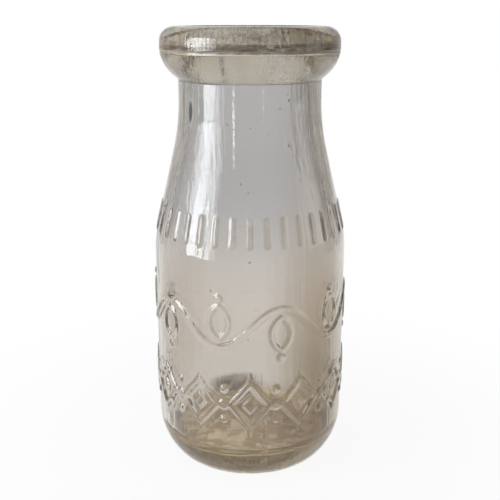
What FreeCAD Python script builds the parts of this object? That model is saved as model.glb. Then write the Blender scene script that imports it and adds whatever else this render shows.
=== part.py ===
import FreeCAD, Part
import math
import os

# A round half-pint glass milk bottle with the paperboard disc that closes it.
# Millimetres. +Z is up along the bottle's axis, and z = 0 is the surface it stands on.
# The disc lies on a ledge inside the lip. A paper tab, stapled to the disc, folds up to pull it out.

Vector = FreeCAD.Vector
AXIS = Vector(0, 0, 1)

# Closure disc and the seat that holds it
disc_diameter = 41.275       # the trade's 1 5/8 inch disc
disc_thickness = 1.1
seat_clearance = 0.2         # round the disc's edge
ledge_width = 2.6            # what the disc rests on
seat_depth = 6.1             # from the rim down to the ledge

# Lip and bead
height = 139.7               # 5 1/2 inches
lip_wall = 6.7               # glass outside the seat
top_land = 0.6               # flat ring at the very top
mouth_round = 1.5            # inner edge of the rim
seam_depth = 7.2             # from the rim to the line where the lip's mould met the body's
lip_height = 15.45           # from the rim to the bead's underside
bead_arc = 12.0              # radius of the bead's underside
bead_fillet = 1.2            # hollow round where the bead meets the neck

# Neck and shoulder
neck_wall = 3.9
neck_length = 5.2            # upright stretch under the bead
throat_draft = 0.15          # how much the throat narrows below the ledge
shoulder_height = 70.5       # where the upright body ends
shoulder_steepness = 1.34    # slope of the cone over that of a straight line from body to neck, 1 to 2
shoulder_share = 0.352       # the shoulder's part of the two radii, the rest being the neck's

# Body, heel and base
body_radius = 30.5
body_wall = 2.3
cavity_drop = 2.0            # how far the inside shoulder lies below the outside one
heel_side_arc = 20.0         # upper arc of the heel, next to the body
heel_foot_arc = 9.7          # lower arc of the heel, next to the foot
heel_turn = 38.0             # degrees that the upper arc turns
foot_width = 1.4             # flat ring that the bottle stands on
push_up = 2.5                # rise of the hollow under the base
floor_thickness = 7.2        # glass at the middle of the base
cavity_heel = 5.0            # round where the inside wall meets the floor

# Pull tab
tab_thickness = 0.4
tab_width = 11.0
tab_fold = -5.0              # x of the line that the tab folds on
tab_base_length = 8.0        # stapled end
tab_free_length = 18.0       # end that lifts
tab_corner = 3.0             # rounded corners of the stapled end
crease_gap = 0.2             # between the two ends at the fold

# Staple
wire_diameter = 0.5
staple_span = 7.4            # between its legs
staple_inset = 3.6           # from the fold to the staple
leg_clearance = 0.05         # round each leg in the paper
clinch_length = 2.6          # of each leg end bent under the disc

# Sizes that follow from these
disc_radius = disc_diameter / 2
seat_radius = disc_radius + seat_clearance
throat_radius = seat_radius - ledge_width
lip_radius = seat_radius + lip_wall
lip_round = lip_wall - mouth_round - top_land
neck_bore = throat_radius - throat_draft
neck_radius = neck_bore + neck_wall
cavity_radius = body_radius - body_wall

seat_z = height - seat_depth
seam_z = height - seam_depth
bead_z = height - lip_height
neck_z = bead_z - neck_length
floor_z = push_up + floor_thickness
disc_top = seat_z + disc_thickness
tab_top = disc_top + tab_thickness

turn = math.radians(heel_turn)
heel_z = heel_side_arc * math.sin(turn) + heel_foot_arc * (1 - math.sin(turn))
foot_radius = body_radius - heel_side_arc + (heel_side_arc - heel_foot_arc) * math.cos(turn)


def at(radius, z):
    """A point of a profile, in the half plane that is turned round the axis."""
    return Vector(radius, 0, z)


def line(start, end):
    return Part.LineSegment(start, end).toShape()


def round_to(centre, radius, start, end):
    """An arc about centre, from one angle to another, in radians from +X towards +Z."""
    points = []
    for angle in (start, (start + end) / 2, end):
        points.append(centre + Vector(radius * math.cos(angle), 0, radius * math.sin(angle)))
    return Part.Arc(*points).toShape()


def bulge_to(start, end, radius):
    """An arc of a given radius between two points, bulging to the right of the way from start to end."""
    chord = end - start
    half = chord.Length / 2
    sagitta = radius - math.sqrt(radius ** 2 - half ** 2)
    out = Vector(chord.z, 0, -chord.x).normalize()
    return Part.Arc(start, (start + end) / 2 + out * sagitta, end).toShape()


def shoulder(low, high):
    """The sweep from body to neck: an arc off the body, a straight cone and an arc onto the neck."""
    inward = low.x - high.x
    rise = high.z - low.z
    slope = shoulder_steepness * math.atan2(inward, rise)
    radii = (rise * math.sin(slope) - inward * math.cos(slope)) / (1 - math.cos(slope))
    low_radius = radii * shoulder_share
    high_radius = radii - low_radius
    low_arc = round_to(low - Vector(low_radius, 0, 0), low_radius, 0, slope)
    high_arc = round_to(high + Vector(high_radius, 0, 0), high_radius, math.pi + slope, math.pi)
    cone = line(low_arc.valueAt(low_arc.LastParameter), high_arc.valueAt(high_arc.FirstParameter))
    return [low_arc, cone, high_arc]


def bead():
    """Up the neck, round the fillet under the bead and out along the bead's underside to the seam."""
    start = at(neck_radius, bead_z)
    seam = at(lip_radius, seam_z)
    chord = seam - start
    out = Vector(chord.z, 0, -chord.x).normalize()
    centre = (start + seam) / 2 - out * math.sqrt(bead_arc ** 2 - (chord.Length / 2) ** 2)
    reach = bead_arc + bead_fillet
    across = neck_radius + bead_fillet - centre.x
    hollow = at(neck_radius + bead_fillet, centre.z - math.sqrt(reach ** 2 - across ** 2))
    first = math.atan2(hollow.z - centre.z, hollow.x - centre.x)
    last = math.atan2(seam.z - centre.z, seam.x - centre.x)
    return [
        line(at(neck_radius, neck_z), at(neck_radius, hollow.z)),
        round_to(hollow, bead_fillet, math.pi, math.pi + first),
        round_to(centre, bead_arc, first, last),
    ]


def outside_profile():
    """From the middle of the base out over the heel, up the body and neck and over the lip to the seat."""
    crown = at(0, push_up)
    foot_inner = at(foot_radius - foot_width, 0)
    dome = (foot_inner.x ** 2 + push_up ** 2) / (2 * push_up)
    body_top = at(body_radius, shoulder_height)
    neck_low = at(neck_radius, neck_z)
    seam = at(lip_radius, seam_z)
    lip_centre = at(lip_radius - lip_round, height - lip_round)
    mouth_centre = at(seat_radius + mouth_round, height - mouth_round)
    ledge_outer = at(seat_radius, seat_z)
    return [
        bulge_to(foot_inner, crown, dome),
        line(foot_inner, at(foot_radius, 0)),
        round_to(at(foot_radius, heel_foot_arc), heel_foot_arc, -math.pi / 2, -turn),
        round_to(at(body_radius - heel_side_arc, heel_z), heel_side_arc, -turn, 0),
        line(at(body_radius, heel_z), body_top),
        *shoulder(body_top, neck_low),
        *bead(),
        line(seam, at(lip_radius, lip_centre.z)),
        round_to(lip_centre, lip_round, 0, math.pi / 2),
        line(at(lip_centre.x, height), at(mouth_centre.x, height)),
        round_to(mouth_centre, mouth_round, math.pi / 2, math.pi),
        line(at(seat_radius, mouth_centre.z), ledge_outer),
        line(ledge_outer, at(throat_radius, seat_z)),
    ]


def inside_profile():
    """From the middle of the floor up the inside wall to the throat, and back down the axis."""
    floor = at(0, floor_z)
    heel_centre = at(cavity_radius - cavity_heel, floor_z + cavity_heel)
    wall_top = at(cavity_radius, shoulder_height - cavity_drop)
    neck_low = at(neck_bore, neck_z - cavity_drop)
    return [
        line(floor, at(heel_centre.x, floor_z)),
        round_to(heel_centre, cavity_heel, -math.pi / 2, 0),
        line(at(cavity_radius, heel_centre.z), wall_top),
        *shoulder(wall_top, neck_low),
        line(neck_low, at(throat_radius, seat_z)),
        line(at(0, push_up), floor),
    ]


def bottle():
    edges = Part.__sortEdges__(outside_profile() + inside_profile())
    face = Part.Face(Part.Wire(edges))
    return face.revolve(Vector(0, 0, 0), AXIS, 360)


def leg_places():
    x = tab_fold - staple_inset
    return [Vector(x, side * staple_span / 2, 0) for side in (-1, 1)]


def leg_holes(low, tall):
    radius = wire_diameter / 2 + leg_clearance
    return [Part.makeCylinder(radius, tall, place + Vector(0, 0, low)) for place in leg_places()]


def cap_disc():
    disc = Part.makeCylinder(disc_radius, disc_thickness, Vector(0, 0, seat_z))
    return disc.cut(leg_holes(seat_z, disc_thickness))


def tab_base():
    """The stapled end of the tab, flat on the disc, with two rounded corners."""
    strip = Part.makeBox(tab_base_length, tab_width, tab_thickness,
                         Vector(tab_fold - tab_base_length, -tab_width / 2, disc_top))
    corners = []
    for edge in strip.Edges:
        middle = edge.CenterOfMass
        upright = abs(edge.tangentAt(edge.FirstParameter).z) > 0.5
        if upright and middle.x < tab_fold - tab_base_length / 2:
            corners.append(edge)
    return strip.makeFillet(tab_corner, corners).cut(leg_holes(disc_top, tab_thickness))


def pull_tab():
    """The free end of the tab, with a half-round tip."""
    half = tab_width / 2
    start = tab_fold + crease_gap
    straight = tab_fold + tab_free_length - half
    edges = [
        Part.LineSegment(Vector(start, half, disc_top), Vector(start, -half, disc_top)),
        Part.LineSegment(Vector(start, -half, disc_top), Vector(straight, -half, disc_top)),
        Part.Arc(Vector(straight, -half, disc_top), Vector(straight + half, 0, disc_top),
                 Vector(straight, half, disc_top)),
        Part.LineSegment(Vector(straight, half, disc_top), Vector(start, half, disc_top)),
    ]
    face = Part.Face(Part.Wire([edge.toShape() for edge in edges]))
    return face.extrude(Vector(0, 0, tab_thickness))


def staple():
    """One wire: a crown across the tab, two legs through the paper and their ends bent in under the disc."""
    wire_radius = wire_diameter / 2
    bend = wire_radius + leg_clearance
    x = tab_fold - staple_inset
    side = staple_span / 2
    top = tab_top + wire_radius
    bottom = seat_z - wire_radius
    diagonal = bend * (1 - math.sqrt(0.5))

    def corner(y_sign, z, z_sign):
        """A bend at one corner, from the level wire to the leg."""
        level = Vector(x, y_sign * (side - bend), z)
        middle = Vector(x, y_sign * (side - diagonal), z + z_sign * diagonal)
        upright = Vector(x, y_sign * side, z + z_sign * bend)
        return level, middle, upright

    edges = []
    for sign in (-1, 1):
        level_top, middle_top, leg_top = corner(sign, top, -1)
        level_low, middle_low, leg_low = corner(sign, bottom, 1)
        tip = Vector(x, sign * (side - clinch_length), bottom)
        edges += [
            line(Vector(x, 0, top), level_top),
            Part.Arc(level_top, middle_top, leg_top).toShape(),
            line(leg_top, leg_low),
            Part.Arc(leg_low, middle_low, level_low).toShape(),
            line(level_low, tip),
        ]
    path = Part.Wire(Part.__sortEdges__(edges))
    first = path.OrderedVertexes[0].Point
    way = path.OrderedEdges[0].tangentAt(path.OrderedEdges[0].FirstParameter)
    section = Part.Wire(Part.makeCircle(wire_radius, first, way))
    return path.makePipeShell([section], True, False)


os.makedirs("parts", exist_ok=True)
for make in (bottle, cap_disc, tab_base, pull_tab, staple):
    make().exportStep("parts/" + make.__name__ + ".step")
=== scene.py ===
import bpy
import math
import numpy as np
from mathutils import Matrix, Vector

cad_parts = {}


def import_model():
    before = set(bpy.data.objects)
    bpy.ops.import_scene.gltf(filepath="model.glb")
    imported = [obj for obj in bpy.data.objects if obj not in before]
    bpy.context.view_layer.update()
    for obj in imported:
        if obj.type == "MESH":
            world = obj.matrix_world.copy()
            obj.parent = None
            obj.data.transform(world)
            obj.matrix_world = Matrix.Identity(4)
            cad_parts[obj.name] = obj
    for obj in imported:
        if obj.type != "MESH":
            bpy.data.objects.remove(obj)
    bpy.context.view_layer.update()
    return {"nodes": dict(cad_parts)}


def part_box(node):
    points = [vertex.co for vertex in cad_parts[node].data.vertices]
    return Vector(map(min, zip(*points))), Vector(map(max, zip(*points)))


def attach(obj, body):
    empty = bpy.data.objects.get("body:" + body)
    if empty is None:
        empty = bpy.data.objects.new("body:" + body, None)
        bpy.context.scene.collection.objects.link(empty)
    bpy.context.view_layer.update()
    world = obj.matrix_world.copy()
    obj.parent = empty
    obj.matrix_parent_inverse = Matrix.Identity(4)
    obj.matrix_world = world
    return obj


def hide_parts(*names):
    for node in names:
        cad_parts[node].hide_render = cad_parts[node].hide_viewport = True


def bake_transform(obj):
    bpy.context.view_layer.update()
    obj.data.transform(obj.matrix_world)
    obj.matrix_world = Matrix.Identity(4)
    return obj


# The looks of a half-pint glass milk bottle and the paperboard disc that closes it.
# Sizes are in millimetres, and meshes are scaled to metres when they are made. Lamps are placed in metres.
# +Z is up along the bottle's axis, and the photograph looks along +Y.

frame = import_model()

MM = 0.001


def node_box(name):
    """Lowest and highest corner of a CAD node, in millimetres."""
    low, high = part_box(name)
    return low / MM, high / MM


_, bottle_high = node_box("bottle")
disc_low, disc_high = node_box("cap_disc")
base_low, base_high = node_box("tab_base")
_, flap_high = node_box("pull_tab")

# Bottle sizes that the CAD boxes give
height = bottle_high.z
body_radius = bottle_high.x
disc_radius = disc_high.x
seat_z = disc_low.z

# Other bottle sizes, as in the solid
seat_radius = disc_radius + 0.2
throat_radius = seat_radius - 2.6
lip_radius = seat_radius + 6.7
mouth_round = 1.5
lip_round = 4.6
seam_z = height - 7.2
bead_z = height - 15.45
bead_arc = 12.0
bead_fillet = 1.2
neck_bore = throat_radius - 0.15
neck_radius = neck_bore + 3.9
neck_z = bead_z - 5.2
shoulder_z = 70.5
shoulder_steepness = 1.34
shoulder_share = 0.352
cavity_radius = body_radius - 2.3
cavity_drop = 2.0
cavity_heel = 5.0
heel_side_arc = 20.0
heel_foot_arc = 9.7
heel_turn = math.radians(38.0)
foot_width = 1.4
push_up = 2.5
floor_z = push_up + 7.2
heel_z = heel_side_arc * math.sin(heel_turn) + heel_foot_arc * (1 - math.sin(heel_turn))
foot_radius = body_radius - heel_side_arc + (heel_side_arc - heel_foot_arc) * math.cos(heel_turn)

# The mould seam under the lip
SEAM_DEEP, SEAM_HALF = 0.22, 0.35

# Mesh density
POINT_STEP = 0.05            # between points of the fine outline
POLISH = 0.3                 # how far fire polishing rounds the corners
COLUMNS = 192                # round the plain zones
FINE_COLUMNS = 384           # round the zone with relief
CROWDING = 0.35              # how much closer columns are at the front than at the sides
FINE_LOW, FINE_HIGH = 18.0, 90.0
BAND_ROW = 0.42              # row height where there is relief
PLAIN_ROW = 2.0
TURN_ROW = math.radians(7.0)

# Relief
PROUD = 0.55                 # its height
BEVEL = 0.9                  # width of its sloping edge
VINE_Z, VINE_HALF = 53.5, 12.0
LOZENGE_Z, LOZENGE_HALF = 29.0, 8.5
BAR_Z, BAR_HALF = 82.3, 5.2
BANDS = (
    (VINE_Z - VINE_HALF, VINE_Z + VINE_HALF),
    (LOZENGE_Z - LOZENGE_HALF, LOZENGE_Z + LOZENGE_HALF),
    (BAR_Z - BAR_HALF, BAR_Z + BAR_HALF),
)

# Tints that the glass gives to what is seen through it, with painted shade in two of them
BODY_GLASS = (0.775, 0.745, 0.71, 1)
NECK_GLASS = (0.67, 0.67, 0.675, 1)
BEAD_GLASS = (0.94, 0.915, 0.87, 1)
# Painted shade: the left side of the bead darker than the rest of it
BEAD_LEFT_SHADE = (0.69, 0.64, 0.56, 1)
LIP_GLASS = (0.178, 0.127, 0.06, 1)
# Painted shade: the lower right of the body, the side away from the window, darker
LOW_RIGHT_SHADE = (0.46, 0.39, 0.29, 1)
HEEL_GLASS = (0.5, 0.36, 0.18, 1)
SIDE_GLASS = (0.5, 0.42, 0.31, 1)
EDGE_GLASS = (0.44, 0.38, 0.3, 1)
THICK_GLASS = (0.47, 0.4, 0.27, 1)
THICK_DENSITY = 25.0         # how fast the tint grows with the thickness, per metre
SHADOW_GLASS = (0.95, 0.945, 0.935, 1)
GLASS_IOR = 1.52

# A stain, the smudge far back on the floor, and a dark mark on the left of the neck, which is tall
SMUDGE = (-6.0, 24.0, floor_z)
NECK_MARK = (-17.4, -13.5, 115.33)
MARK_STRETCH = (1, 1, 0.3)

# Window panes: direction in degrees from the camera's side towards +X, then width, low edge and high edge in
# metres, then radiance
WINDOW = (
    (-82.0, 0.06, 0.12, 0.5, 7.0),
    (-71.0, 0.132, 0.0, 0.115, 10.2),
    (-71.0, 0.132, 0.12, 0.5, 12.0),
    (-59.5, 0.1, 0.0, 0.115, 9.5),
    (-59.5, 0.1, 0.12, 0.5, 11.8),
    (-50.5, 0.05, 0.0, 0.5, 7.5),
    (-45.0, 0.08, 0.0, 0.5, 2.0),
)
WINDOW_DISTANCE = 0.65
WINDOW_COLOUR = (0.91, 0.95, 1.0)

# Cards: direction, width, top, shade and whether they are also seen through the glass
CARDS = (
    (-153.0, 160.0, 260.0, 0.9, True),
    (-130.0, 180.0, 260.0, 0.75, True),
    (-110.0, 130.0, 160.0, 0.13, False),
    (153.0, 160.0, 260.0, 0.65, True),
    (130.0, 180.0, 260.0, 0.65, True),
    (110.0, 130.0, 160.0, 0.13, True),
)
CARD_DISTANCE = 500.0
CARD_FOOT = 48.0
CARD_COLOUR = (1.0, 0.94, 0.87)

# The photograph's camera, in metres and radians. Its sensor and lens are in millimetres.
CAMERA_BACK, CAMERA_UP, CAMERA_PITCH = 0.25013, 0.14174, 0.2819
SENSOR, LENS = 36.0, 57.54

BOUNCES = 24


def straight(start, end):
    start, end = np.array(start), np.array(end)
    count = max(2, round(np.linalg.norm(end - start) / POINT_STEP))
    return np.linspace(start, end, count, endpoint=False)


def arc(centre, radius, start, end):
    """Points of an arc from one angle to another, in radians from outwards towards up."""
    count = max(2, round(radius * abs(end - start) / POINT_STEP))
    turn = np.linspace(start, end, count, endpoint=False)
    return np.stack([centre[0] + radius * np.cos(turn), centre[1] + radius * np.sin(turn)], axis=1)


def shoulder(low, high):
    """An arc off the body, a straight cone and an arc onto the neck, from low to high."""
    inward, rise = low[0] - high[0], high[1] - low[1]
    slope = shoulder_steepness * math.atan2(inward, rise)
    radii = (rise * math.sin(slope) - inward * math.cos(slope)) / (1 - math.cos(slope))
    low_radius = radii * shoulder_share
    high_radius = radii - low_radius
    low_arc = arc((low[0] - low_radius, low[1]), low_radius, 0, slope)
    high_arc = arc((high[0] + high_radius, high[1]), high_radius, math.pi + slope, math.pi)
    return [low_arc, straight(low_arc[-1], high_arc[0]), high_arc]


def bead():
    """Up the neck, round the fillet under the bead and out along the bead's underside to the seam."""
    start, end = np.array((neck_radius, bead_z)), np.array((lip_radius, seam_z))
    chord = end - start
    out = np.array([chord[1], -chord[0]]) / np.linalg.norm(chord)
    centre = (start + end) / 2 - out * math.sqrt(bead_arc ** 2 - chord @ chord / 4)
    reach = bead_arc + bead_fillet
    across = neck_radius + bead_fillet - centre[0]
    hollow = np.array((neck_radius + bead_fillet, centre[1] - math.sqrt(reach ** 2 - across ** 2)))
    first = math.atan2(*(hollow - centre)[::-1])
    last = math.atan2(*(end - centre)[::-1])
    return [
        straight((neck_radius, neck_z), (neck_radius, hollow[1])),
        arc(hollow, bead_fillet, math.pi, math.pi + first),
        arc(centre, bead_arc, first, last),
    ]


def outside():
    """From the middle of the base over the heel, body, neck and lip to the ledge of the seat."""
    foot_inner = foot_radius - foot_width
    dome = (foot_inner ** 2 + push_up ** 2) / (2 * push_up)
    return [
        arc((0, push_up - dome), dome, math.pi / 2, math.acos(foot_inner / dome)),
        straight((foot_inner, 0), (foot_radius, 0)),
        arc((foot_radius, heel_foot_arc), heel_foot_arc, -math.pi / 2, -heel_turn),
        arc((body_radius - heel_side_arc, heel_z), heel_side_arc, -heel_turn, 0),
        straight((body_radius, heel_z), (body_radius, shoulder_z)),
        *shoulder((body_radius, shoulder_z), (neck_radius, neck_z)),
        *bead(),
        straight((lip_radius, seam_z), (lip_radius, height - lip_round)),
        arc((lip_radius - lip_round, height - lip_round), lip_round, 0, math.pi / 2),
        straight((lip_radius - lip_round, height), (seat_radius + mouth_round, height)),
        arc((seat_radius + mouth_round, height - mouth_round), mouth_round, math.pi / 2, math.pi),
        straight((seat_radius, height - mouth_round), (seat_radius, seat_z)),
        straight((seat_radius, seat_z), (throat_radius, seat_z)),
    ]


def inside():
    """From the throat down the inside wall to the middle of the floor."""
    wall_top = (cavity_radius, shoulder_z - cavity_drop)
    throat_low = (neck_bore, neck_z - cavity_drop)
    inner = shoulder(wall_top, throat_low)
    heel_centre = (cavity_radius - cavity_heel, floor_z + cavity_heel)
    return [
        straight((throat_radius, seat_z), throat_low),
        *[part[::-1] for part in inner[::-1]],
        straight(wall_top, (cavity_radius, heel_centre[1])),
        arc(heel_centre, cavity_heel, 0, -math.pi / 2),
        straight((heel_centre[0], floor_z), (0, floor_z)),
        np.array([[0, floor_z]]),
    ]


def fire_polished(points):
    """The outline with its corners rounded, as melting rounds glass. Its two ends stay on the axis."""
    reach = round(3 * POLISH / POINT_STEP)
    offsets = np.arange(-reach, reach + 1) * POINT_STEP
    weights = np.exp(-0.5 * (offsets / POLISH) ** 2)
    weights /= weights.sum()
    padded = np.pad(points, ((reach, reach), (0, 0)), mode="edge")
    smooth = np.stack([np.convolve(padded[:, k], weights, mode="valid") for k in (0, 1)], axis=1)
    smooth[[0, -1]] = points[[0, -1]]
    return smooth


def outline_rows():
    """Rows of the bottle's mesh: radius, height, outward normal and whether the row is on the outside."""
    outer = np.concatenate(outside())
    inner = np.concatenate(inside())
    points = fire_polished(np.concatenate([outer, inner]))
    is_outer = np.arange(len(points)) < len(outer)
    at_seam = np.exp(-((points[:, 1] - seam_z) / SEAM_HALF) ** 2) * (points[:, 0] > neck_radius)
    points[:, 0] -= SEAM_DEEP * at_seam
    way = np.gradient(points, axis=0)
    step = np.linalg.norm(way, axis=1)
    way /= step[:, None]
    bend = np.abs(np.gradient(np.unwrap(np.arctan2(way[:, 1], way[:, 0])))) / step
    density = np.maximum(1 / PLAIN_ROW, bend / TURN_ROW)
    for low, high in BANDS:
        in_band = is_outer & (points[:, 1] > low) & (points[:, 1] < high)
        density[in_band] = np.maximum(density[in_band], 1 / BAND_ROW)
    count = np.cumsum(density * step)
    count -= count[0]
    wanted = np.linspace(0, count[-1], math.ceil(count[-1]) + 1)
    pick = np.interp(wanted, count, np.arange(len(points)))
    columns = [points[:, 0], points[:, 1], way[:, 1], -way[:, 0], is_outer]
    return np.stack([np.interp(pick, np.arange(len(points)), values) for values in columns], axis=1)


# Relief: distances, in millimetres along the wall, to the lines and shapes that stand proud

def raised(distance, half=0.0):
    """1 on a shape, falling to 0 across its bevel. half is the half width of a line."""
    share = np.clip((half + BEVEL / 2 - distance) / BEVEL, 0, 1)
    return share * share * (3 - 2 * share)


def lozenge(u, v, half_wide, half_tall):
    """Signed distance to a lozenge."""
    beyond = np.abs(u) * half_tall + np.abs(v) * half_wide - half_wide * half_tall
    return beyond / math.hypot(half_wide, half_tall)


def bar(u, v, half_tall):
    """Distance to an upright line."""
    return np.hypot(u, np.maximum(np.abs(v) - half_tall, 0))


def leaf(u, v, angle, half_long, half_wide):
    """Signed distance to a pointed leaf that lies at an angle."""
    along = u * math.cos(angle) + v * math.sin(angle)
    across = -u * math.sin(angle) + v * math.cos(angle)
    radius = (half_long ** 2 + half_wide ** 2) / (2 * half_wide)
    return np.hypot(along, np.abs(across) + radius - half_wide) - radius


def repeat(u, pitch, first, last):
    """u measured from the nearest of the places numbered first to last, which are a pitch apart."""
    return u - pitch * np.clip(np.round(u / pitch), first, last)


def lozenge_row(u, v):
    """Lozenges with a smaller one in each, and three beads between two of them."""
    pitch = 16.0
    half_wide, half_tall, half_line = 6.0, 7.2, 0.8
    core_wide, core_tall = 2.2, 2.8
    large_bead, small_bead, bead_step = 1.6, 1.0, 5.0
    near = repeat(u, pitch, -3, 3)
    between = repeat(u - pitch / 2, pitch, -4, 3)
    shape = raised(np.abs(lozenge(near, v, half_wide, half_tall)), half_line)
    shape = np.maximum(shape, raised(lozenge(near, v, core_wide, core_tall)))
    shape = np.maximum(shape, raised(np.hypot(between, v), large_bead))
    for side in (-1, 1):
        shape = np.maximum(shape, raised(np.hypot(between, v + side * bead_step), small_bead))
    return shape


def vine_row(u, v):
    """A waving stem with a bead at each end, an upright leaf in each bend and a bead at the leaf's tip."""
    pitch = 38.0
    reach = 1.5 * pitch
    swing, half_stem = 6.0, 0.9
    end_bead = 1.6
    leaf_long, leaf_wide, leaf_line, leaf_off = 5.2, 3.0, 0.7, 1.8
    tip_bead, tip_off = 1.2, 9.3
    wave = 2 * math.pi / pitch
    slope = swing * wave * np.cos(wave * u)
    stem = raised(np.abs(v - swing * np.sin(wave * u)) / np.sqrt(1 + slope ** 2), half_stem)
    shape = np.where(np.abs(u) < reach, stem, 0)
    shape = np.maximum(shape, raised(np.hypot(np.abs(u) - reach, v), end_bead))
    for side in (-1, 1):
        crest = repeat(u - side * pitch / 4, pitch, -1, 1)
        blade = leaf(crest, v + side * leaf_off, math.pi / 2, leaf_long, leaf_wide)
        shape = np.maximum(shape, raised(np.abs(blade), leaf_line))
        shape = np.maximum(shape, raised(np.hypot(crest, v + side * tip_off), tip_bead))
    return shape


def bar_row(turn, v):
    """A row of short upright bars, less proud than the rest."""
    pitch = math.radians(10.0)
    wall_radius = 29.3
    half_tall, half_line, proud_share = 3.6, 0.8, 0.7
    return proud_share * raised(bar(repeat(turn, pitch, -10, 10) * wall_radius, v, half_tall), half_line)


def relief(turn, z):
    """Height of the ornament, 0 to 1. turn is the angle from the front."""
    u = body_radius * turn
    rows = np.maximum(lozenge_row(u, z - LOZENGE_Z), vine_row(u, z - VINE_Z))
    return np.maximum(rows, bar_row(turn, z - BAR_Z))


def wander(turn, z):
    """Slow unevenness of the inside wall, in millimetres."""
    uneven = 0.10 * np.sin(3 * turn + z / 19.0) * np.sin(z / 23.0 + 0.7)
    uneven += 0.06 * np.sin(5 * turn - z / 31.0 + 1.1)
    uneven += 0.03 * np.sin(11 * turn + 2.0 * np.sin(z / 27.0))
    return uneven


# Meshes

def mesh_object(name, points, faces):
    mesh = bpy.data.meshes.new(name)
    mesh.from_pydata((np.asarray(points) * MM).tolist(), [], faces)
    mesh.validate()
    mesh.shade_smooth()
    piece = bpy.data.objects.new(name, mesh)
    bpy.context.scene.collection.objects.link(piece)
    return piece


def stitch(low, low_count, high, high_count):
    """Faces between two rings. They have as many points, or one has twice the other's, or a single point."""
    if low_count == 1:
        return [(low, high + (k + 1) % high_count, high + k) for k in range(high_count)]
    if high_count == 1:
        return [(low + k, low + (k + 1) % low_count, high) for k in range(low_count)]
    faces = []
    count = min(low_count, high_count)
    for k in range(count):
        after = (k + 1) % count
        left, middle, right = 2 * k, 2 * k + 1, (2 * k + 2) % (2 * count)
        if low_count == high_count:
            faces.append((low + k, low + after, high + after, high + k))
        elif low_count < high_count:
            faces += [(low + k, high + middle, high + left), (low + k, low + after, high + middle),
                      (low + after, high + right, high + middle)]
        else:
            faces += [(low + left, low + middle, high + k), (low + middle, high + after, high + k),
                      (low + middle, low + right, high + after)]
    return faces


def skin(name, rings):
    """A closed mesh over rings of points, from one end to the other."""
    faces = []
    start = 0
    for low, high in zip(rings, rings[1:]):
        faces += stitch(start, len(low), start + len(low), len(high))
        start += len(low)
    return mesh_object(name, np.concatenate(rings), faces)


def round_turns(count, crowding=0.0):
    """Angles round the axis from the front, about half of them negative. Crowding draws them to the front."""
    turn = np.arange(count) * 2 * math.pi / count
    turn = np.where(turn > math.pi, turn - 2 * math.pi, turn)
    return turn - crowding * np.sin(turn)


def ring(turn, radius, z):
    return np.stack([radius * np.sin(turn), -radius * np.cos(turn), z], axis=1)


def bottle_mesh():
    """The bottle with its relief. An attribute marks the sloping edges of the relief, which the glass darkens
    a little there as painted shade.
    """
    fade_tall, fade_wide = 8.0, 12.0
    rings = []
    edges = []
    for radius, z, out, up, is_outer in outline_rows():
        if radius < POINT_STEP:
            rings.append(np.array([[0, 0, z]]))
            edges.append(np.zeros(1))
            continue
        fine = is_outer > 0.5 and FINE_LOW < z < FINE_HIGH and radius > foot_radius
        turn = round_turns(FINE_COLUMNS if fine else COLUMNS, CROWDING)
        proud = np.zeros_like(turn)
        edge = np.zeros_like(turn)
        if fine:
            shape = relief(turn, np.full_like(turn, z))
            proud = PROUD * shape
            edge = 4 * shape * (1 - shape)
        elif is_outer < 0.5 and z < bead_z:
            proud = wander(turn, z) * min(1, (bead_z - z) / fade_tall) * min(1, radius / fade_wide)
        rings.append(ring(turn, radius + proud * out, z + proud * up))
        edges.append(edge)
    piece = skin("glass_bottle", rings)
    marks = piece.data.attributes.new("relief_edge", "FLOAT", "POINT")
    marks.data.foreach_set("value", np.concatenate(edges))
    return piece


def disc_mesh():
    """The paperboard disc: a rounded edge, a shallow pressed ring and a slightly uneven face."""
    edge = 0.25
    side, face = 0.5, 0.6
    groove, groove_deep, groove_half = 16.0, 0.14, 0.6
    dish = 0.05
    fray, fray_wide = 0.05, 0.1
    low, high = disc_low.z, disc_high.z
    inset = disc_radius - edge
    turn = round_turns(192)
    outline = [(radius, low) for radius in np.linspace(4, inset, 6)]
    outline += [(inset + edge * math.sin(a), low + edge - edge * math.cos(a)) for a in (0.5, 1.1, 1.57)]
    outline += [(disc_radius, low + side), (disc_radius, high - side)]
    outline += [(inset + edge * math.cos(a), high - edge + edge * math.sin(a)) for a in (0, 0.5, 1.1)]
    outline += [(radius, high) for radius in np.linspace(inset, 1.0, 60)]
    rings = [np.array([[0, 0, low]])]
    for radius, z in outline:
        level = np.full_like(turn, z)
        if z > low + face:
            level -= groove_deep * math.exp(-((radius - groove) / groove_half) ** 2)
            level -= dish * (1 + np.sin(2 * turn + 0.6) * (radius / disc_radius) ** 2)
        rough = 0
        if radius > disc_radius - fray_wide:
            rough = fray * np.sin(23 * turn) * np.sin(9 * turn + 1)
        rings.append(ring(turn, radius - np.abs(rough), level))
    rings.append(np.array([[0, 0, high - dish]]))
    return skin("paper_disc", rings)


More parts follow.
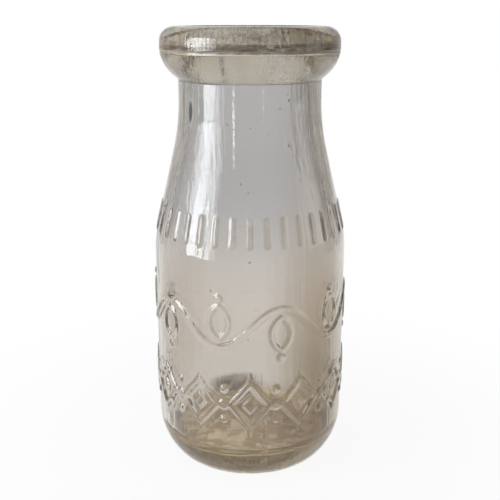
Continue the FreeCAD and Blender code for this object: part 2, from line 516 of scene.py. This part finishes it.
def tab_mesh():
    """The pull tab, one strip of paper with a crease where it folds and a tip that curls up a little."""
    columns = 17
    corner = 3.0
    near_fold = 1.0
    curl_high = 0.45
    crease_deep, crease_half = 0.14, 0.35
    bow_high, bow_reach = 0.08, 4.0
    low, high = base_low.z, base_high.z
    first, last = base_low.x, flap_high.x
    fold = base_high.x
    half = base_high.y
    ease = np.linspace(0.06, 1, 10)
    stations = np.concatenate([
        first + corner * (1 - np.cos(ease * math.pi / 2)),
        np.linspace(first + corner, fold - near_fold, 6)[1:],
        np.linspace(fold - near_fold, fold + near_fold, 25)[1:],
        np.linspace(fold + near_fold, last - half, 14)[1:],
        last - half + half * np.sin(np.linspace(0, 0.985, 22)[1:] * math.pi / 2),
    ])
    across = np.linspace(1, -1, columns)
    rings = []
    for x in stations:
        wide = half
        if x < first + corner:
            wide = half - corner + math.sqrt(corner ** 2 - (first + corner - x) ** 2)
        if x > last - half:
            wide = math.sqrt(half ** 2 - (x - last + half) ** 2)
        curl = curl_high * max(0, (x - fold) / (last - fold)) ** 2
        crease = crease_deep * math.exp(-((x - fold) / crease_half) ** 2)
        bow = bow_high * across ** 2 * min(1, abs(x - fold) / bow_reach)
        over = np.stack([np.full(columns, x), wide * across, high + curl - crease + bow], axis=1)
        under = np.stack([np.full(columns, x), wide * across[::-1], low + curl + bow[::-1]], axis=1)
        rings.append(np.concatenate([over, under]))
    ends = [rings[0].mean(axis=0, keepdims=True), rings[-1].mean(axis=0, keepdims=True)]
    return skin("paper_tab", [ends[0], *rings, ends[1]])


# Materials

class Nodes:
    """A node tree, with short calls that add and join nodes. An input is a value or another node's socket."""

    def __init__(self, tree):
        self.tree = tree

    def join(self, socket, value):
        if isinstance(value, bpy.types.NodeSocket):
            self.tree.links.new(value, socket)
        else:
            socket.default_value = value

    def add(self, kind, inputs, **settings):
        node = self.tree.nodes.new("ShaderNode" + kind)
        for name, value in settings.items():
            setattr(node, name, value)
        for key, value in inputs.items():
            self.join(node.inputs[key], value)
        return node

    def math(self, operation, first, second=0.0, clamp=False):
        return self.add("Math", {0: first, 1: second}, operation=operation, use_clamp=clamp).outputs[0]

    def times(self, first, *others):
        for value in others:
            first = self.math("MULTIPLY", first, value)
        return first

    def ramp(self, value, low, high, start=0.0, end=1.0):
        inputs = {"Value": value, "From Min": low, "From Max": high, "To Min": start, "To Max": end}
        return self.add("MapRange", inputs, interpolation_type="SMOOTHSTEP").outputs["Result"]

    def window(self, value, low, high, soft):
        """1 from low to high and 0 beyond, with soft ends."""
        rise = self.ramp(value, low - soft, low + soft)
        return self.times(rise, self.ramp(value, high - soft, high + soft, 1.0, 0.0))

    def blend(self, factor, first, second):
        return self.add("Mix", {0: factor, 6: first, 7: second}, data_type="RGBA").outputs[2]

    def place(self, stretch=(1, 1, 1)):
        """Where a point of the piece is, in millimetres, with each direction times a stretch."""
        where = self.add("TexCoord", {}).outputs["Object"]
        scale = tuple(share / MM for share in stretch)
        return self.add("VectorMath", {0: where, 1: scale}, operation="MULTIPLY").outputs[0]

    def axes(self):
        """x, y and z, in millimetres."""
        split = self.add("SeparateXYZ", {0: self.place()}).outputs
        return split[0], split[1], split[2]

    def radius(self):
        """The distance from the axis, in millimetres."""
        return self.add("VectorMath", {0: self.place((1, 1, 0))}, operation="LENGTH").outputs["Value"]

    def distance(self, point, stretch=(1, 1, 1)):
        """The distance from a point, in millimetres, with each direction times a stretch."""
        there = tuple(value * share for value, share in zip(point, stretch))
        inputs = {0: self.place(stretch), 1: there}
        return self.add("VectorMath", inputs, operation="DISTANCE").outputs["Value"]

    def noise(self, size, detail=2.0, stretch=(1, 1, 1)):
        """Uneven values about 0.5, in patches about size across."""
        inputs = {"Vector": self.place(stretch), "Scale": 1 / size, "Detail": detail}
        return self.add("TexNoise", inputs).outputs[0]

    def seen(self):
        """1 for what the camera sees, straight or by way of glass and gloss."""
        path = self.add("LightPath", {}).outputs
        straight_on = self.math("ADD", path["Is Camera Ray"], path["Is Glossy Ray"])
        return self.math("ADD", straight_on, path["Is Transmission Ray"], clamp=True)


def material(name):
    made = bpy.data.materials.new(name)
    made.use_nodes = True
    tree = made.node_tree
    return made, Nodes(tree), tree.nodes["Principled BSDF"], tree.nodes["Material Output"]


def lip_grime_and_shade(nodes, x, z):
    """How much of its brown tint the lip has: uneven, finely mottled and stronger towards the right, where
    the extra brown is painted shade on the side away from the window.
    """
    uneven = nodes.ramp(nodes.noise(3.0, 4.0), 0.3, 0.65, 0.75, 1.0)
    # Painted shade: the brown grows towards the right, the side away from the window
    right = nodes.ramp(x, -22.0, 12.0, 0.47, 1.0)
    least = nodes.ramp(x, -5.0, 15.0, 0.5, 1.0)
    mottle = nodes.ramp(nodes.noise(0.9, 5.0), 0.38, 0.62, least, 1.0)
    return nodes.times(nodes.ramp(z, seam_z - 0.5, seam_z + 0.7), uneven, right, mottle)


def glass_tint_and_shade(nodes, x, z):
    """The tint of the glass: warm in the body, cool in the neck and brown in the lip and the heel, with
    painted shade on the lower right of the body and on the left of the bead.
    """
    colour = nodes.blend(nodes.ramp(z, 56.0, 88.0), BODY_GLASS, NECK_GLASS)
    # The darker left side of the bead is painted shade
    bead_tint_and_shade = nodes.blend(nodes.ramp(x, -25.0, -12.0), BEAD_LEFT_SHADE, BEAD_GLASS)
    # Painted shade on the lower right of the body, the side away from the window
    low_right_shade = nodes.times(nodes.ramp(x, 4.0, 26.0, 0.0, 0.95), nodes.ramp(z, 16.0, 80.0, 1.0, 0.3))
    uneven = nodes.ramp(nodes.noise(2.5, 4.0), 0.35, 0.65, 0.1, 1.0)
    off_middle = nodes.math("ABSOLUTE", x)
    sides = nodes.times(nodes.ramp(off_middle, 14.0, 26.0, 0.0, 0.3), nodes.window(z, 22.0, 67.0, 7.0))
    facing = nodes.add("LayerWeight", {"Blend": 0.5}).outputs["Facing"]
    tints_and_shades = (
        (nodes.ramp(z, bead_z - 0.5, bead_z + 0.5), bead_tint_and_shade),
        (lip_grime_and_shade(nodes, x, z), LIP_GLASS),
        (low_right_shade, LOW_RIGHT_SHADE),
        (nodes.times(nodes.ramp(z, 3.0, 10.0, 1.0, 0.0), uneven), HEEL_GLASS),
        (sides, SIDE_GLASS),
        (nodes.ramp(facing, 0.5, 0.95, 0.0, 0.35), EDGE_GLASS),
    )
    for share, tint in tints_and_shades:
        colour = nodes.blend(share, colour, tint)
    return colour


def neck_highlight_streaks(nodes, x, y, z):
    """Two thin pale streaks down the front of the neck, broken here and there: painted highlights."""
    long_streak = nodes.times(nodes.window(x, -4.75, -4.4, 0.15), nodes.window(z, 101.0, 123.0, 3.0))
    short_streak = nodes.times(nodes.window(x, 3.6, 3.9, 0.15), nodes.window(z, 116.0, 123.0, 2.0))
    broken = nodes.ramp(nodes.noise(1.5, 3.0), 0.35, 0.6)
    return nodes.times(nodes.math("MAXIMUM", long_streak, short_streak), nodes.ramp(y, -15.0, -17.0), broken)


def grime_and_painted_light(nodes, x, y, z):
    """What lies on the glass, with painted shade, a painted shadow and painted highlights among it, from the
    lowest layer up: where it is, its colour and how much it hides.
    """
    radius = nodes.radius()
    patches = nodes.noise(4.0, 4.0)
    patchy = nodes.ramp(patches, 0.3, 0.6, 0.45, 1.0)
    blotches = nodes.ramp(nodes.noise(2.5, 4.0), 0.42, 0.58)
    in_mouth = nodes.ramp(radius, 20.9, 21.4, 1.0, 0.0)
    relief_edge_shade = nodes.add("Attribute", {}, attribute_name="relief_edge").outputs["Fac"]
    seam_band = nodes.window(z, seam_z - 0.3, seam_z + 0.4, 0.3)
    seam = nodes.times(seam_band, nodes.ramp(radius, 25.0, 26.0), patchy)
    seat = nodes.times(nodes.window(z, seat_z - 1.0, seat_z + 0.8, 0.3), in_mouth, patchy)
    grains = nodes.ramp(nodes.noise(0.6, 4.0), 0.52, 0.6)
    gathered = nodes.ramp(nodes.noise(7.0), 0.42, 0.58)
    specks = nodes.times(grains, nodes.window(z, seat_z + 0.6, height - 0.7, 0.5), in_mouth, gathered)
    dust = nodes.ramp(nodes.noise(1.1, 0.0), 0.87, 0.885)
    crust = nodes.ramp(nodes.noise(0.8, 4.0, (1, 1, 0.6)), 0.46, 0.6)
    crusted = nodes.times(nodes.window(z, 125.0, 138.0, 0.8), nodes.window(x, 3.0, 12.0, 2.5))
    deposits = nodes.times(crust, crusted, in_mouth)
    near_floor = nodes.ramp(z, floor_z + 1.0, floor_z + 3.5, 1.0, 0.0)
    smudge = nodes.times(nodes.ramp(nodes.distance(SMUDGE), 3.0, 13.0, 1.0, 0.0), patchy, near_floor)
    mark = nodes.ramp(nodes.distance(NECK_MARK, MARK_STRETCH), 0.7, 1.5, 1.0, 0.0)
    rust_line = nodes.times(nodes.window(x, 3.4, 5.2, 0.6), nodes.window(z, 2.0, 24.0, 2.0))
    rust = nodes.times(rust_line, nodes.ramp(y, -18.0, -21.0), blotches)
    # The underside film: mottled brown dirt that also paints the shadow under the bottle, seen through the
    # base
    underside = nodes.ramp(z, 2.6, 4.8, 1.0, 0.0)
    underside_film_and_shadow = nodes.blend(nodes.ramp(patches, 0.4, 0.6), (1.0, 0.85, 0.55, 1), (0.48, 0.33, 0.13, 1))
    return (
        # Painted shade: a faint, uneven brown darkening on the sloping edges of the relief
        (nodes.times(relief_edge_shade, patchy, 0.7), (0.4, 0.32, 0.22, 1), 0.2),
        # Painted highlights: two pale streaks down the front of the neck
        (neck_highlight_streaks(nodes, x, y, z), (0.95, 0.94, 0.93, 1), 0.6),
        (seam, (0.17, 0.12, 0.035, 1), 0.85),
        (seat, (0.13, 0.095, 0.06, 1), 0.9),
        (specks, (0.16, 0.12, 0.08, 1), 0.8),
        (dust, (0.25, 0.21, 0.16, 1), 0.5),
        (deposits, (0.86, 0.84, 0.8, 1), 0.35),
        (smudge, (0.2, 0.16, 0.11, 1), 0.5),
        (mark, (0.04, 0.032, 0.024, 1), 0.9),
        (rust, (0.45, 0.3, 0.13, 1), 0.55),
        # Painted shadow under the bottle, together with a mottled film on the underside
        (underside, underside_film_and_shadow, 0.6),
    )


def wavy_wall(nodes, z):
    """The normal of a wall with broad waves and fine upright lines, which are stronger in the neck."""
    lines = nodes.times(nodes.noise(0.8, 2.0, (1, 1, 0.03)), nodes.ramp(z, 70.0, 95.0, 0.12, 0.5))
    waves = nodes.math("ADD", nodes.noise(3.5, 2.0, (1, 1, 0.07)), lines)
    return nodes.add("Bump", {"Strength": 0.8, "Distance": 0.0002, "Height": waves}).outputs["Normal"]


def glass():
    """Old clear glass with a faint tint, wavy walls, dirt, and painted shade, shadow and highlights. Lamp
    light goes straight through it.
    """
    made, nodes, shader, output = material("old_clear_glass")
    x, y, z = nodes.axes()
    colour = glass_tint_and_shade(nodes, x, z)
    cover = 0.0
    for mask, layer_colour, opacity in grime_and_painted_light(nodes, x, y, z):
        colour = nodes.blend(mask, colour, layer_colour)
        cover = nodes.math("MAXIMUM", cover, nodes.math("MULTIPLY", mask, opacity))
    nodes.join(shader.inputs["Base Color"], colour)
    nodes.join(shader.inputs["Transmission Weight"], nodes.math("SUBTRACT", 1.0, cover))
    nodes.join(shader.inputs["Roughness"], nodes.ramp(cover, 0.0, 1.0, 0.01, 0.5))
    nodes.join(shader.inputs["Normal"], wavy_wall(nodes, z))
    shader.inputs["IOR"].default_value = GLASS_IOR
    volume = nodes.add("VolumeAbsorption", {"Color": THICK_GLASS, "Density": THICK_DENSITY})
    nodes.join(output.inputs["Volume"], volume.outputs["Volume"])
    path = nodes.add("LightPath", {}).outputs
    passes = nodes.math("MAXIMUM", path["Is Shadow Ray"], path["Is Diffuse Ray"])
    unbent = nodes.add("BsdfTransparent", {"Color": SHADOW_GLASS})
    mix = nodes.add("MixShader", {0: passes, 1: shader.outputs["BSDF"], 2: unbent.outputs["BSDF"]})
    nodes.join(output.inputs["Surface"], mix.outputs["Shader"])
    return made


def paper(name, pale, aged, edge):
    """Old pulp board: fibres, blotches and a darker edge."""
    made, nodes, shader, _ = material(name)
    colour = nodes.blend(nodes.ramp(nodes.noise(6.0, 4.0), 0.35, 0.65), pale, aged)
    fibres = nodes.noise(0.35, 5.0, (1, 0.25, 1))
    colour = nodes.blend(nodes.ramp(fibres, 0.55, 0.75, 0.0, 0.5), colour, aged)
    at_edge = nodes.ramp(nodes.radius(), disc_radius - 1.6, disc_radius - 0.1)
    rim = nodes.times(at_edge, nodes.ramp(nodes.noise(2.5, 3.0), 0.2, 0.6))
    colour = nodes.blend(rim, colour, edge)
    nodes.join(shader.inputs["Base Color"], colour)
    nodes.join(shader.inputs["Roughness"], nodes.ramp(fibres, 0.3, 0.7, 0.6, 0.85))
    bump = nodes.add("Bump", {"Strength": 0.5, "Distance": 0.0001, "Height": fibres})
    nodes.join(shader.inputs["Normal"], bump.outputs["Normal"])
    return made


def disc_board():
    pale, aged, edge = (0.88, 0.86, 0.81, 1), (0.8, 0.75, 0.66, 1), (0.24, 0.17, 0.1, 1)
    return paper("disc_board", pale, aged, edge)


def tab_kraft():
    pale, aged, edge = (0.6, 0.5, 0.36, 1), (0.46, 0.36, 0.24, 1), (0.3, 0.22, 0.13, 1)
    return paper("tab_kraft", pale, aged, edge)


def staple_steel():
    """Dull steel wire with spots of rust."""
    made, nodes, shader, _ = material("staple_steel")
    rust = nodes.ramp(nodes.noise(0.8, 4.0), 0.48, 0.62)
    nodes.join(shader.inputs["Base Color"], nodes.blend(rust, (0.42, 0.4, 0.37, 1), (0.2, 0.09, 0.04, 1)))
    nodes.join(shader.inputs["Metallic"], nodes.math("SUBTRACT", 1.0, rust))
    nodes.join(shader.inputs["Roughness"], nodes.ramp(rust, 0.0, 1.0, 0.35, 0.85))
    return made


def floor_white():
    """White floor. Near the bottle it shows a faint shadow."""
    made, nodes, shader, output = material("white_floor")
    shader.inputs["Base Color"].default_value = (0.85, 0.85, 0.85, 1)
    shader.inputs["Roughness"].default_value = 0.9
    share = nodes.times(nodes.seen(), nodes.ramp(nodes.radius(), 40.0, 160.0, 0.88, 1.0))
    glow = nodes.add("Emission", {"Strength": 1.0})
    mix = nodes.add("MixShader", {0: share, 1: shader.outputs["BSDF"], 2: glow.outputs["Emission"]})
    nodes.join(output.inputs["Surface"], mix.outputs["Shader"])
    return made


# Stage

def floor():
    side = 6000.0
    corners = [(-side, -side, 0), (side, -side, 0), (side, side, 0), (-side, side, 0)]
    piece = mesh_object("floor", corners, [(0, 1, 2, 3)])
    piece.data.materials.append(floor_white())


def world():
    """White towards the horizon, for what is seen, and a plain grey light for the rest."""
    zenith, plain_light = 0.45, 0.35
    made = bpy.data.worlds.new("studio")
    bpy.context.scene.world = made
    made.use_nodes = True
    nodes = Nodes(made.node_tree)
    background = made.node_tree.nodes["Background"]
    background.inputs["Color"].default_value = (1, 1, 1, 1)
    direction = nodes.add("TexCoord", {}).outputs["Generated"]
    rise = nodes.add("SeparateXYZ", {0: direction}).outputs["Z"]
    path = nodes.add("LightPath", {}).outputs
    sky = nodes.ramp(rise, 0.05, 0.6, 1.0, zenith)
    sky = nodes.math("MAXIMUM", sky, path["Is Camera Ray"])
    light = nodes.add("Mix", {0: nodes.seen(), 2: plain_light, 3: sky}).outputs[0]
    nodes.join(background.inputs["Strength"], light)


def lamp(name, direction, distance, rise, wide, tall, radiance, colour=(1, 1, 1)):
    """A rectangular softbox that faces the bottle. direction is as in the table of panes."""
    light = bpy.data.lights.new(name, "AREA")
    light.shape = "RECTANGLE"
    light.size = wide
    light.size_y = tall
    light.energy = radiance * math.pi * wide * tall
    light.color = colour
    piece = bpy.data.objects.new(name, light)
    bpy.context.scene.collection.objects.link(piece)
    turn = math.radians(direction)
    piece.location = (distance * math.sin(turn), -distance * math.cos(turn), rise)
    piece.rotation_euler = (math.pi / 2, 0, turn)
    piece.visible_camera = False
    piece.visible_transmission = False
    return piece


def lamps():
    """The window on the left, a fill on the right and a softbox overhead that faces down."""
    for pane, (direction, wide, low, high, radiance) in enumerate(WINDOW):
        lamp("window_pane_%d" % pane, direction, WINDOW_DISTANCE, (low + high) / 2, wide, high - low,
             radiance, WINDOW_COLOUR)
    lamp("fill_softbox", direction=85.0, distance=1.5, rise=0.65, wide=0.7, tall=1.3, radiance=0.9)
    above = lamp("overhead", direction=0.0, distance=0.0, rise=1.4, wide=1.2, tall=1.2, radiance=0.85)
    above.rotation_euler = (0, 0, 0)


def dark_card(name, direction, wide, top, shade, through):
    """A dark card, which gives clear glass its dark lines. It is seen only by way of gloss and glass."""
    turn = math.radians(direction)
    along = np.array([math.cos(turn), math.sin(turn), 0]) * wide / 2
    middle = np.array([math.sin(turn), -math.cos(turn), 0]) * CARD_DISTANCE
    foot, head = middle + (0, 0, CARD_FOOT), middle + (0, 0, top)
    corners = [foot - along, foot + along, head + along, head - along]
    piece = mesh_object(name, corners, [(0, 1, 2, 3)])
    made, _, shader, _ = material(name)
    shader.inputs["Base Color"].default_value = (*[shade * share for share in CARD_COLOUR], 1)
    shader.inputs["Roughness"].default_value = 1.0
    piece.data.materials.append(made)
    piece.visible_camera = False
    piece.visible_diffuse = False
    piece.visible_shadow = False
    piece.visible_transmission = through


def camera():
    """The photograph's camera: in front of the bottle, a little above its rim and pitched down."""
    lens = bpy.data.cameras.new("camera")
    lens.sensor_width = SENSOR
    lens.lens = LENS
    piece = bpy.data.objects.new("camera", lens)
    bpy.context.scene.collection.objects.link(piece)
    piece.location = (0, -CAMERA_BACK, CAMERA_UP)
    piece.rotation_euler = (math.pi / 2 - CAMERA_PITCH, 0, 0)
    bpy.context.scene.camera = piece


bottle = bottle_mesh()
bottle.data.materials.append(glass())
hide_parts("bottle")
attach(bottle, "bottle")

disc = disc_mesh()
disc.data.materials.append(disc_board())
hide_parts("cap_disc")
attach(disc, "cap")

tab = tab_mesh()
tab.data.materials.append(tab_kraft())
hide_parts("tab_base", "pull_tab")
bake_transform(tab)

staple = frame["nodes"]["staple"]
staple.data.materials.clear()
staple.data.materials.append(staple_steel())

floor()
world()
lamps()
for number, card in enumerate(CARDS):
    dark_card("card_%d" % number, *card)
camera()

scene = bpy.context.scene
scene.view_settings.view_transform = "Standard"
scene.cycles.max_bounces = BOUNCES
scene.cycles.transmission_bounces = BOUNCES
scene.cycles.glossy_bounces = BOUNCES
scene.cycles.caustics_reflective = False
scene.cycles.caustics_refractive = False
